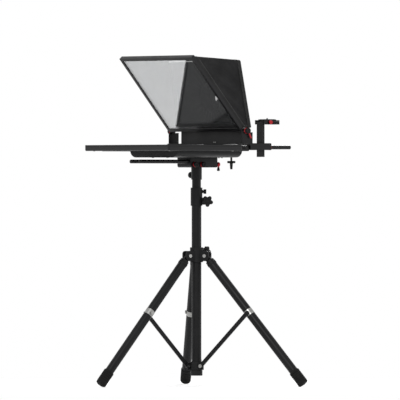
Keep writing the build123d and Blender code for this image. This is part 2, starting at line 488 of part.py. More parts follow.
# ---------------------------------------------------------------- camera support
def camera_support():
    riser = block(RISER_X0, RISER_X1, -RISER_HALF, RISER_HALF, RISER_Z0, RISER_Z1)
    riser = chamfer(riser.faces().sort_by(Axis.Z)[-1].edges(), 2)
    for side in (-1, 1):
        riser -= rod((RISER_X0 - 1, side * ROD_HALF, REAR_ROD_Z), (1, 0, 0), ROD_R + RUN, 110)
    slot = GAP / 2
    post_x0, post_x1 = POST_X - POST_TX / 2, POST_X + POST_TX / 2
    post_y = POST_TY / 2
    riser -= block(post_x0 - slot, post_x1 + slot, -post_y - slot, post_y + slot, RISER_Z0 - 1, RISER_Z1 + 1)
    knob_z = (RISER_Z0 + RISER_Z1) / 2
    riser -= rod((RISER_X1, 0, knob_z), (-1, 0, 0), 3 + RUN, RISER_X1 - post_x1)
    save("riser_block", riser)
    knob = ring_knob((RISER_X1 + GAP, 0, knob_z), (1, 0, 0), 11, 14)
    save("riser_knob", knob + rod((post_x1 + GAP, 0, knob_z), (1, 0, 0), 3, RISER_X1 - post_x1))
    save("riser_post", block(post_x0, post_x1, -post_y, post_y, POST_Z0, PLATE_Z0))

    x0, x1 = PLATE_X - PLATE_L / 2, PLATE_X + PLATE_L / 2
    plate = block(x0, x1, -PLATE_W / 2, PLATE_W / 2, PLATE_Z0, PLATE_Z1)
    plate = fillet(plate.edges().filter_by(Axis.Z), 4)
    qr_z0 = PLATE_Z1 - QR_T + 3
    plate -= block(x0 - 1, x1 + 1, -QR_W / 2 - GAP / 2, QR_W / 2 + GAP / 2, qr_z0, PLATE_Z1 + 1)
    lever_z = (PLATE_Z0 + PLATE_Z1) / 2
    plate -= rod((PLATE_X - 8, -PLATE_W / 2, lever_z), (0, 1, 0), 3 + RUN, 8)
    save("camera_plate", plate)
    lever = rod((PLATE_X - 8, -PLATE_W / 2 - GAP, lever_z), (0, -1, 0), 8, 8)
    lever += rod((PLATE_X - 8, -PLATE_W / 2 + 6, lever_z), (0, -1, 0), 3, 8)
    lever += soft_rod((PLATE_X - 8, -PLATE_W / 2 - 5, lever_z), (1, 0, 0), 3.6, 34, 1.5)
    save("plate_lever", lever)
    slide = block(PLATE_X - QR_L / 2, PLATE_X + QR_L / 2, -QR_W / 2, QR_W / 2, qr_z0 + RUN, PLATE_Z1 + 3)
    slide = chamfer(slide.faces().sort_by(Axis.Z)[-1].edges(), 0.8)
    slide -= rod((PLATE_X, 0, qr_z0), (0, 0, 1), CAMERA_SCREW_R + RUN, 20)
    slide -= rod((PLATE_X, 0, qr_z0), (0, 0, 1), 8.3, 3.5)
    save("quick_plate", slide)
    thread_z = PLATE_Z1 + 3 + CAMERA_SCREW_RELIEF
    screw = rod((PLATE_X, 0, qr_z0 + 0.3), (0, 0, 1), CAMERA_SCREW_R - 0.4, thread_z - qr_z0 - 0.3)
    screw += rod((PLATE_X, 0, thread_z), (0, 0, 1), CAMERA_SCREW_R, CAMERA_SCREW_L)
    save("camera_screw", screw + rod((PLATE_X, 0, qr_z0 + 0.3), (0, 0, 1), 8, 3))


stand()
yoke()
legs()
head_support()
tray_and_monitor()
spine()
hood_support()
hood()
camera_support()
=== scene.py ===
"""Teleprompter on a folding column stand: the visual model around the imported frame."""
from math import cos, pi, radians, sin

import bmesh
import bpy
from bpy.props import FloatProperty, FloatVectorProperty, PointerProperty
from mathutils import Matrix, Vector


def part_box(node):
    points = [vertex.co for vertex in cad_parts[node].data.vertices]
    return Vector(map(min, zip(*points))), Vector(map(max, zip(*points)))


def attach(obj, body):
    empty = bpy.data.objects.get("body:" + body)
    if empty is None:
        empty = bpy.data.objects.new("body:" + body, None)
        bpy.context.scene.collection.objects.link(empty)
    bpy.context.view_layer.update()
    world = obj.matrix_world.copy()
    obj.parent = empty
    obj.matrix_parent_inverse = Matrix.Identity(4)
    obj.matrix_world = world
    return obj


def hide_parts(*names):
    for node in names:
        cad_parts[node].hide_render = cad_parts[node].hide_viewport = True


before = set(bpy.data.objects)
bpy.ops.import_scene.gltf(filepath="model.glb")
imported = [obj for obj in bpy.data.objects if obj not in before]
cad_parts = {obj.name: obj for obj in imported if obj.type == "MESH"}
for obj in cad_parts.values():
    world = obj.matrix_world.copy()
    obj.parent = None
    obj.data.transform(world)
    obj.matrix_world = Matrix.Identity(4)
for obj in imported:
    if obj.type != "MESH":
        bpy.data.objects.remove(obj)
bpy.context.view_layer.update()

bl_info = {
    "name": "Teleprompter on a column stand",
    "version": (1, 0, 0),
    "blender": (4, 5, 0),
    "location": "View3D > Sidebar > Teleprompter",
    "description": "Dresses the packed teleprompter frame with cloth, rubber, trim and finishes",
    "category": "Add Mesh",
}

MM = 0.001
AZIMUTH = radians(35.5)          # how far the camera stands round from the presenter's left


# ---------------------------------------------------------------- colours and materials
def linear(hex_colour):
    """sRGB hex to a linear RGBA tuple."""
    channels = []
    for i in (0, 2, 4):
        c = int(hex_colour[i:i + 2], 16) / 255
        channels.append(c / 12.92 if c <= 0.04045 else ((c + 0.055) / 1.055) ** 2.4)
    return (*channels, 1.0)


def tone_of(value):
    """A colour given as sRGB hex, or as the linear colour of a property."""
    return linear(value) if isinstance(value, str) else tuple(value)


def add_node(tree, kind, settings=(), **inputs):
    """Adds one node. settings are its attributes; inputs are socket values or other nodes' sockets."""
    node = tree.nodes.new(kind)
    for key, value in dict(settings).items():
        setattr(node, key, value)
    for key, value in inputs.items():
        numbered = key[0] == "i" and key[1:].isdigit()
        socket = node.inputs[int(key[1:]) if numbered else key.replace("_", " ")]
        if isinstance(value, bpy.types.NodeSocket):
            tree.links.new(value, socket)
        else:
            socket.default_value = value
    return node


def new_material(name):
    material = bpy.data.materials.new(name)
    material.use_nodes = True
    tree = material.node_tree
    tree.nodes.clear()
    shader = add_node(tree, "ShaderNodeBsdfPrincipled")
    output = add_node(tree, "ShaderNodeOutputMaterial")
    tree.links.new(shader.outputs[0], output.inputs[0])
    coords = add_node(tree, "ShaderNodeTexCoord").outputs["Object"]
    return material, tree, shader, coords


def finish_surface(name, colour, worn, *, rough, rough_spread=0.08, grain_mm, grain_depth_mm=0.05,
                   patch_mm=60.0, patch_share=0.5, metallic=0.0, specular=0.5, stretch=(1, 1, 1),
                   fixed=()):
    """Base colour that drifts towards a worn tone in patches, with a grain that bumps and roughens it."""
    material, tree, shader, coords = new_material(name)
    link = tree.links.new
    mapping = add_node(tree, "ShaderNodeMapping", Vector=coords, Scale=stretch)
    grain = add_node(tree, "ShaderNodeTexNoise", Vector=mapping.outputs[0], Scale=1 / (grain_mm * MM),
                     Detail=3.0)
    patch = add_node(tree, "ShaderNodeTexNoise", Vector=coords, Scale=1 / (patch_mm * MM), Detail=4.0,
                     Roughness=0.6)
    spread = add_node(tree, "ShaderNodeMapRange", i0=patch.outputs[0], i1=0.42, i2=0.72, i3=0.0,
                      i4=patch_share)
    mix = add_node(tree, "ShaderNodeMix", {"data_type": "RGBA"}, i0=spread.outputs[0], i6=tone_of(colour),
                   i7=tone_of(worn))
    speck = add_node(tree, "ShaderNodeMapRange", i0=grain.outputs[0], i1=0.3, i2=0.7, i3=0.88, i4=1.12)
    tone = add_node(tree, "ShaderNodeVectorMath", {"operation": "SCALE"}, i0=mix.outputs[2],
                    i3=speck.outputs[0])
    link(tone.outputs[0], shader.inputs["Base Color"])
    roughness = add_node(tree, "ShaderNodeMapRange", i0=patch.outputs[0], i1=0.3, i2=0.7,
                         i3=rough - rough_spread, i4=rough + rough_spread)
    link(roughness.outputs[0], shader.inputs["Roughness"])
    bump = add_node(tree, "ShaderNodeBump", Height=grain.outputs[0], Distance=grain_depth_mm * MM,
                    Strength=0.6)
    link(bump.outputs[0], shader.inputs["Normal"])
    shader.inputs["Metallic"].default_value = metallic
    shader.inputs["Specular IOR Level"].default_value = specular
    for key, value in dict(fixed).items():
        shader.inputs[key].default_value = value
    return material


def powder_coat():
    # polyester powder baked on steel tube: fine orange peel, a soft wide highlight, dustier in patches
    return finish_surface("powder_coated_steel", C().coat, "1e1e1f", rough=0.42, grain_mm=2.2,
                          grain_depth_mm=0.06, patch_mm=90, patch_share=0.45, specular=0.15)


def anodised(name, colour, worn, grain_mm=1.2):
    # bead-blasted then anodised aluminium: an even satin with a faint metal glint at its edges
    return finish_surface(name, colour, worn, rough=0.38, grain_mm=grain_mm, grain_depth_mm=0.02,
                          patch_mm=45, patch_share=0.4, specular=0.16)


def drawn_rod():
    # drawn and hard-anodised rod: lines run along the rod, so the highlight is stretched across it
    return finish_surface("hard_anodised_drawn_rod", "0b0b0c", "18181a", rough=0.3, grain_mm=1.0,
                          grain_depth_mm=0.03, stretch=(0.04, 1, 1), patch_mm=40, patch_share=0.5,
                          specular=0.2)


def moulded_nylon():
    # glass-filled nylon from a spark-eroded mould: dull, pebbled, greyer where hands rub it
    return finish_surface("moulded_glass_filled_nylon", C().nylon, "1d1d1e", rough=0.55, grain_mm=1.6,
                          grain_depth_mm=0.10, patch_mm=30, patch_share=0.55, specular=0.17)


def moulded_rubber():
    # black rubber, compression moulded: matt, dusty where it meets the floor
    return finish_surface("moulded_black_rubber", "0e0e0e", "242422", rough=0.78, grain_mm=2.5,
                          grain_depth_mm=0.15, patch_mm=22, patch_share=0.6, specular=0.15)


def zinc_steel():
    # zinc-plated turned steel: bright, with fine turning marks and dull blotches
    return finish_surface("zinc_plated_turned_steel", "9b9b99", "6f6f6c", rough=0.32, grain_mm=0.9,
                          grain_depth_mm=0.02, patch_mm=12, patch_share=0.6, metallic=1.0)


def red_anodised():
    # dyed anodised aluminium: deep red with a metallic sheen and paler rubbed edges
    return finish_surface("red_anodised_turned_aluminium", C().red, "7c1822", rough=0.3, grain_mm=0.9,
                          grain_depth_mm=0.03, patch_mm=9, patch_share=0.5, metallic=0.55)


def textured_abs():
    # injection-moulded ABS with a spark-eroded grain, drawn coarser than its real 0.3 mm so it shows
    return finish_surface("spark_grained_black_abs", C().abs, "212122", rough=0.42, grain_mm=1.5,
                          grain_depth_mm=0.06, patch_mm=110, patch_share=0.35, specular=0.22)


def natural_nylon():
    return finish_surface("cast_natural_nylon", "c9c7ba", "aaa798", rough=0.5, grain_mm=3, patch_mm=20,
                          fixed={"Subsurface Weight": 0.1})


def lacquered_board():
    # green lacquer over glass-fibre board, with darker track patches
    return finish_surface("lacquered_glass_fibre_board", "0c3a1d", "17552f", rough=0.25, grain_mm=4,
                          patch_mm=8, patch_share=0.9)


def lcd_panel():
    # polished polariser over a switched-off liquid-crystal panel: near black with a clear reflection
    return finish_surface("polished_polariser_on_lcd", "08090b", "0b0c10", rough=0.12, rough_spread=0.02,
                          grain_mm=6, grain_depth_mm=0.002, patch_mm=150, patch_share=0.5, specular=0.6)


def half_silvered_glass():
    """Float glass with a thin reflective coat: half the light is mirrored and half passes."""
    material, tree, shader, coords = new_material("half_silvered_float_glass")
    haze = add_node(tree, "ShaderNodeTexNoise", Vector=coords, Scale=1 / (70 * MM), Detail=2.0)
    rough = add_node(tree, "ShaderNodeMapRange", i0=haze.outputs[0], i1=0.4, i2=0.7, i3=0.008, i4=0.03)
    tree.links.new(rough.outputs[0], shader.inputs["Roughness"])
    tint = add_node(tree, "ShaderNodeMix", {"data_type": "RGBA"}, i0=haze.outputs[0], i6=linear("f4f6f8"),
                    i7=linear("fafbfb"))
    tree.links.new(tint.outputs[2], shader.inputs["Base Color"])
    shader.inputs["Metallic"].default_value = 1.0
    shader.inputs["Alpha"].default_value = 0.40
    return material


def woven(name, colour, worn, thread_mm, rough=0.85, depth_mm=0.25):
    """Plain weave: two crossed wave patterns, over a slow fold-wear drift."""
    material, tree, shader, coords = new_material(name)
    link = tree.links.new
    waves = []
    for axis in ("X", "Z"):
        wave = add_node(tree, "ShaderNodeTexWave", {"wave_type": "BANDS", "bands_direction": axis},
                        Vector=coords, Scale=1 / (thread_mm * MM) / 3.2, Distortion=0.6, Detail=1.0)
        waves.append(wave.outputs[1])
    wave_y = add_node(tree, "ShaderNodeTexWave", {"wave_type": "BANDS", "bands_direction": "Y"},
                      Vector=coords, Scale=1 / (thread_mm * MM) / 3.2, Distortion=0.6, Detail=1.0)
    pair = add_node(tree, "ShaderNodeMath", {"operation": "MAXIMUM"}, i0=waves[0], i1=waves[1])
    weave = add_node(tree, "ShaderNodeMath", {"operation": "MULTIPLY"}, i0=pair.outputs[0],
                     i1=wave_y.outputs[1])
    drift = add_node(tree, "ShaderNodeTexNoise", Vector=coords, Scale=1 / (80 * MM), Detail=5.0)
    share = add_node(tree, "ShaderNodeMapRange", i0=drift.outputs[0], i1=0.4, i2=0.75, i3=0.0, i4=0.7)
    mix = add_node(tree, "ShaderNodeMix", {"data_type": "RGBA"}, i0=share.outputs[0], i6=tone_of(colour),
                   i7=tone_of(worn))
    shade = add_node(tree, "ShaderNodeMapRange", i0=weave.outputs[0], i1=0.0, i2=1.0, i3=0.75, i4=1.2)
    tone = add_node(tree, "ShaderNodeVectorMath", {"operation": "SCALE"}, i0=mix.outputs[2],
                    i3=shade.outputs[0])
    link(tone.outputs[0], shader.inputs["Base Color"])
    bump = add_node(tree, "ShaderNodeBump", Height=weave.outputs[0], Distance=depth_mm * MM, Strength=0.5)
    link(bump.outputs[0], shader.inputs["Normal"])
    shader.inputs["Roughness"].default_value = rough
    shader.inputs["Specular IOR Level"].default_value = 0.2
    shader.inputs["Sheen Weight"].default_value = 0.12
    shader.inputs["Sheen Roughness"].default_value = 0.5
    return material


def studio_floor():
    # seamless paper sweep: matt, near white
    return finish_surface("seamless_white_paper", "fafafa", "f3f3f3", rough=0.9, grain_mm=8,
                          grain_depth_mm=0.02, patch_mm=600, patch_share=0.4, specular=0.1)


MAKERS = {
    "powder_coat": powder_coat,
    "black_anodised": lambda: anodised("bead_blasted_black_anodised_aluminium", C().anodised, "1e1e20"),
    "frame_anodised": lambda: anodised("brushed_black_anodised_extrusion", "161617", "222224", 2.0),
    "drawn_rod": drawn_rod,
    "nylon": moulded_nylon,
    "rubber": moulded_rubber,
    "zinc": zinc_steel,
    "red": red_anodised,
    "abs": textured_abs,
    "natural_nylon": natural_nylon,
    "board": lacquered_board,
    "lcd": lcd_panel,
    "glass": half_silvered_glass,
    # polyester duck, plain woven, with 0.5 mm threads drawn at 1.4 mm so that they show
    "duck": lambda: woven("woven_black_polyester_duck", C().cloth, "1d1d1e", 1.4),
    # polyamide webbing tape, sewn over the raw edges: tighter and a little glossier than the duck
    "webbing": lambda: woven("woven_black_nylon_binding_tape", "0c0c0c", "222222", 1.8, 0.7, 0.35),
    "thread": lambda: finish_surface("twisted_grey_polyester_thread", "3b3b3b", "4a4a4a", rough=0.7,
                                     grain_mm=0.8, patch_mm=20),
    "paper": studio_floor,
}
made = {}


def material_for(key):
    if key not in made:
        made[key] = MAKERS[key]()
    return made[key]


# ---------------------------------------------------------------- mesh helpers
def C():
    return bpy.context.scene.prompter_colours


def S():
    return bpy.context.scene.prompter_sizes


def centre(node):
    low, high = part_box(node)
    return (Vector(low) + Vector(high)) / 2


def make_piece(name, verts, faces, key, body, record_slot, smooth=True):
    """A mesh object with one material, riding on a body."""
    mesh = bpy.data.meshes.new(name)
    mesh.from_pydata([tuple(v) for v in verts], [], faces)
    mesh.validate()
    bm = bmesh.new()
    bm.from_mesh(mesh)
    bmesh.ops.remove_doubles(bm, verts=bm.verts, dist=1e-6)
    bmesh.ops.recalc_face_normals(bm, faces=bm.faces)
    bm.to_mesh(mesh)
    bm.free()
    for polygon in mesh.polygons:
        polygon.use_smooth = smooth
    piece = bpy.data.objects.new(name, mesh)
    bpy.context.collection.objects.link(piece)
    mesh.materials.append(material_for(key))
    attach(piece, body)
    return piece


def lathe(profile, start, axis, steps=48):
    """Verts and faces of a profile of (radius, distance) turned about an axis, closed at its ends."""
    axis = Vector(axis).normalized()
    side = axis.orthogonal().normalized()
    other = axis.cross(side)
    verts, faces = [], []
    for radius, along in profile:
        for i in range(steps):
            turn = 2 * pi * i / steps
            verts.append(Vector(start) + axis * along + (side * cos(turn) + other * sin(turn)) * radius)
    for ring in range(len(profile) - 1):
        for i in range(steps):
            a, b = ring * steps + i, ring * steps + (i + 1) % steps
            faces.append((a, b, b + steps, a + steps))
    faces.append(tuple(range(steps))[::-1])
    faces.append(tuple(range(len(verts) - steps, len(verts))))
    return verts, faces


def joined(parts):
    """One list of verts and faces from several."""
    verts, faces = [], []
    for part_verts, part_faces in parts:
        shift = len(verts)
        verts += part_verts
        faces += [tuple(i + shift for i in face) for face in part_faces]
    return verts, faces


def swept(points, radius, steps=10, closed=False):
    """A round tube through points, with flat ends."""
    verts, faces = [], []
    count = len(points)
    for i, point in enumerate(points):
        before = points[i - 1] if i or closed else points[0]
        after = points[(i + 1) % count] if i < count - 1 or closed else points[-1]
        along = (Vector(after) - Vector(before)).normalized()
        side = along.cross(Vector((0.13, 0.21, 0.97))).normalized()
        other = along.cross(side)
        for k in range(steps):
            turn = 2 * pi * k / steps
            verts.append(Vector(point) + (side * cos(turn) + other * sin(turn)) * radius)
    for i in range(count if closed else count - 1):
        for k in range(steps):
            a, b = i * steps + k, i * steps + (k + 1) % steps
            c, d = ((i + 1) % count) * steps + (k + 1) % steps, ((i + 1) % count) * steps + k
            faces.append((a, b, c, d))
    if not closed:
        faces += [tuple(range(steps))[::-1], tuple(range(len(verts) - steps, len(verts)))]
    return verts, faces


def bar(x0, x1, y0, y1, z0, z1, edge):
    """A box with its edges rounded off."""
    bm = bmesh.new()
    bmesh.ops.create_cube(bm, size=1)
    for v in bm.verts:
        v.co = Vector(((x0, x1)[v.co.x > 0], (y0, y1)[v.co.y > 0], (z0, z1)[v.co.z > 0]))
    bmesh.ops.bevel(bm, geom=bm.edges[:], offset=edge, segments=2, affect="EDGES", profile=0.6)
    verts = [v.co.copy() for v in bm.verts]
    faces = [tuple(v.index for v in f.verts) for f in bm.faces]
    bm.free()
    return verts, faces


def dress(node, key, edge_mm=0.0):
    """Gives a carried CAD node its material and a fine edge radius that catches light."""
    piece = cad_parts[node]
    piece.data.materials.clear()
    piece.data.materials.append(material_for(key))
    for slot in piece.material_slots:
        slot.material = material_for(key)
    if edge_mm:
        bevel = piece.modifiers.new("fine_edge", "BEVEL")
        bevel.width, bevel.segments = edge_mm * MM, 2
        bevel.limit_method, bevel.angle_limit = "ANGLE", radians(50)
        bevel.use_clamp_overlap = True
    return piece


# ---------------------------------------------------------------- sizes and colours a user would change
def colour(name, description, value):
    return FloatVectorProperty(name=name, description=description, default=linear(value), size=4,
                               subtype="COLOR", min=0, max=1)


class PrompterSizes(bpy.types.PropertyGroup):
    cloth: FloatProperty(name="Cloth thickness", description="Thickness of the hood cloth", default=0.0012,
                         unit="LENGTH", subtype="DISTANCE")
    sag: FloatProperty(name="Hood sag", description="How far the hood's roof hangs between its frames",
                       default=0.006, unit="LENGTH", subtype="DISTANCE")
    tape: FloatProperty(name="Binding width", description="Width of the tape sewn on the hood's edges",
                        default=0.016, unit="LENGTH", subtype="DISTANCE")
    lens_radius: FloatProperty(name="Drawn opening",
                               description="Radius of the lens sleeve drawn in by its cord",
                               default=0.012, unit="LENGTH", subtype="DISTANCE")
    floor: FloatProperty(name="Floor radius", description="Radius of the paper floor", default=1.6,
                         unit="LENGTH", subtype="DISTANCE")


class PrompterColours(bpy.types.PropertyGroup):
    coat: colour("Powder coat", "Stand tubes and folded sheet", "0f0f10")
    anodised: colour("Anodised", "Machined blocks", "0e0e0f")
    nylon: colour("Moulded nylon", "Collars, yoke and knobs", "0d0d0e")
    abs: colour("Monitor shell", "Monitor housing", "121213")
    cloth: colour("Hood cloth", "Hood cloth", "0b0b0c")
    red: colour("Red parts", "Anodised clamps and knob rings", "a0121d")


# ---------------------------------------------------------------- pieces
class Prompter:
    bl_options = {"REGISTER", "UNDO"}


class PROMPTER_OT_stage(Prompter, bpy.types.Operator):
    """Paper floor, white surroundings, soft lights and the camera"""
    bl_idname = "prompter.stage"
    bl_label = "Stage"

    def execute(self, context):
        steps = 96
        radius = S().floor
        verts = [(radius * cos(2 * pi * i / steps), radius * sin(2 * pi * i / steps), 0)
                 for i in range(steps)]
        mesh = bpy.data.meshes.new("paper_floor")
        mesh.from_pydata(verts, [], [tuple(range(steps))])
        mesh.materials.append(material_for("paper"))
        floor = bpy.data.objects.new("paper_floor", mesh)
        context.collection.objects.link(floor)

        world = bpy.data.worlds.new("white_studio")
        world.use_nodes = True
        background = world.node_tree.nodes["Background"]
        background.inputs[0].default_value = (1, 1, 1, 1)
        background.inputs[1].default_value = 1.0
        context.scene.world = world
        for name, place, size, power in (("key", (-2.6, -2.4, 2.6), 1.4, 55),
                                         ("rim", (2.6, 2.2, 2.4), 1.2, 45),
                                         ("fill", (2.4, -2.6, 1.2), 2.0, 10)):
            light = bpy.data.lights.new(name, "AREA")
            light.shape, light.size, light.energy = "DISK", size, power
            lamp = bpy.data.objects.new(name, light)
            lamp.location = place
            aim = Vector((0, 0, 0.9)) - Vector(place)
            lamp.rotation_euler = aim.to_track_quat("-Z", "Y").to_euler()
            context.collection.objects.link(lamp)

        # a long lens from far off, level with the middle of the stand
        lens, sensor, width, middle = 900.0, 36.0, 1.568, 0.7295
        right = Vector((cos(AZIMUTH), -sin(AZIMUTH), 0))
        ahead = Vector((sin(AZIMUTH), cos(AZIMUTH), 0))
        camera_data = bpy.data.cameras.new("camera")
        camera_data.lens, camera_data.sensor_width = lens, sensor
        distance = width * lens / sensor
        camera_data.clip_start, camera_data.clip_end = 1.0, distance * 2
        camera = bpy.data.objects.new("camera", camera_data)
        camera.location = Vector((0, 0, middle)) + right * 0.0137 - ahead * distance
        camera.rotation_euler = ahead.to_track_quat("-Z", "Y").to_euler()
        context.collection.objects.link(camera)
        context.scene.camera = camera
        context.scene.view_settings.view_transform = "Standard"
        context.scene.view_settings.look = "None"
        return {"FINISHED"}


class PROMPTER_OT_finishes(Prompter, bpy.types.Operator):
    """Finishes on every carried metal, plastic and rubber piece"""
    bl_idname = "prompter.finishes"
    bl_label = "Finishes"

    def execute(self, context):
        groups = {
            ("powder_coat", 0.4): ["lower_column", "upper_mast", "hood_base", "apron", "tray"]
            + [f"{kind}_{i}" for kind in ("leg_tube", "strut") for i in (1, 2, 3)],
            ("black_anodised", 0.6): ["head_bracket", "spine_plate", "rod_mount", "riser_block", "riser_post",
                                      "camera_plate", "quick_plate", "head_sleeve"],
            ("frame_anodised", 0.8): ["glass_frame", "rear_frame"],
            ("drawn_rod", 0.0): ["front_rods", "rear_rods"],
            ("nylon", 0.8): ["column_cap", "hub", "mast_collar", "yoke", "leg_end_1", "leg_end_2",
                             "leg_end_3", "mast_knob", "yoke_knob", "head_knob", "pull_pin", "t_screw"],
            ("natural_nylon", 0.0): ["mast_bush"],
            ("zinc", 0.3): ["hub_pins", "yoke_pins", "leg_clamp_1", "leg_clamp_2", "leg_clamp_3",
                            "camera_screw", "plate_screws"],
            ("red", 0.4): ["rod_knob_1", "rod_knob_2", "clamp_lever", "plate_lever", "riser_knob",
                           "hinge_knob_near", "hinge_knob_far"],
            ("abs", 0.6): ["monitor_back", "monitor_bezel", "power_button"],
            ("lcd", 0.0): ["monitor_screen"],
            ("board", 0.0): ["monitor_board"],
            ("glass", 0.0): ["beam_splitter"],
        }
        for (key, edge), nodes in groups.items():
            for node in nodes:
                dress(node, key, edge)
        return {"FINISHED"}


class PROMPTER_OT_feet(Prompter, bpy.types.Operator):
    """Ribbed rubber feet on the legs"""
    bl_idname = "prompter.feet"
    bl_label = "Rubber feet"

    def execute(self, context):
        for i in (1, 2, 3):
            foot, tube = (centre(f"{kind}_{i}") for kind in ("rubber_foot", "leg_tube"))
            axis = (foot - tube).normalized()
            length, radius, bore = 0.064, 0.021, 0.0176
            top = foot - axis * (length / 2)
            profile = [(bore, 0.0), (radius - 0.0025, 0.0), (radius - 0.0008, 0.0012), (radius, 0.003)]
            for rib in range(5):
                at = 0.011 + rib * 0.0085
                profile += [(radius, at), (radius - 0.0016, at + 0.0009), (radius - 0.0016, at + 0.0028),
                            (radius, at + 0.0037)]
            profile += [(radius, length - 0.004), (radius - 0.001, length - 0.0014), (radius - 0.003, length)]
            verts, faces = lathe(profile, top, axis)
            piece = make_piece(f"ribbed_foot_{i}", verts, faces, "rubber", f"leg_{i}", "rubber")
            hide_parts(f"rubber_foot_{i}")
        return {"FINISHED"}


def hood_profile():
    """The hood's corners in X and Z: front low, front top, rear top, rear low, and half its width."""
    low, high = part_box("hood_cloth")
    rear_low, rear_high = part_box("rear_frame")
    bottom = low[2] + 0.001
    skin = 0.0012
    front_top = Vector((low[0] + 0.001, 0, high[2] - 0.002))
    rear_top = Vector((rear_low[0] + 0.004, 0, rear_high[2] + 0.0035))
    rear_bottom = Vector((rear_high[0] + skin + 0.0005, 0, bottom))
    glass_low, glass_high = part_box("beam_splitter")
    slope = (glass_high[0] - glass_low[0]) / (glass_high[2] - glass_low[2])
    front_bottom = Vector((front_top.x + (front_top.z - bottom) * slope, 0, bottom))
    return front_bottom, front_top, rear_top, rear_bottom, high[1] - skin


def hood_loop(bottom, top, half, count, corner=0.007):
    """Points up the near side, across the roof and down the far side, with soft corners."""
    rise = top - bottom
    height = rise.length
    up = rise / height
    path = []
    side_count, roof_count, bend = count, count + 6, 6
    for i in range(side_count):
        path.append(bottom + up * ((height - corner) * i / side_count) + Vector((0, -half, 0)))
    for i in range(bend + 1):
        turn = pi / 2 * i / bend
        path.append(top - up * corner * (1 - sin(turn)) + Vector((0, -half + corner * (1 - cos(turn)), 0)))
    for i in range(1, roof_count):
        share = i / roof_count
        path.append(top + Vector((0, (-half + corner) * (1 - share) + (half - corner) * share, 0)))
    for i in range(bend + 1):
        turn = pi / 2 * (1 - i / bend)
        path.append(top - up * corner * (1 - sin(turn)) + Vector((0, half - corner * (1 - cos(turn)), 0)))
    for i in range(side_count - 1, -1, -1):
        path.append(bottom + up * ((height - corner) * i / side_count) + Vector((0, half, 0)))
    return path


def solid_cloth(piece, thickness):
    """Gives a sheet its thickness, inwards."""
    modifier = piece.modifiers.new("cloth_thickness", "SOLIDIFY")
    modifier.thickness, modifier.offset = thickness, 0.0


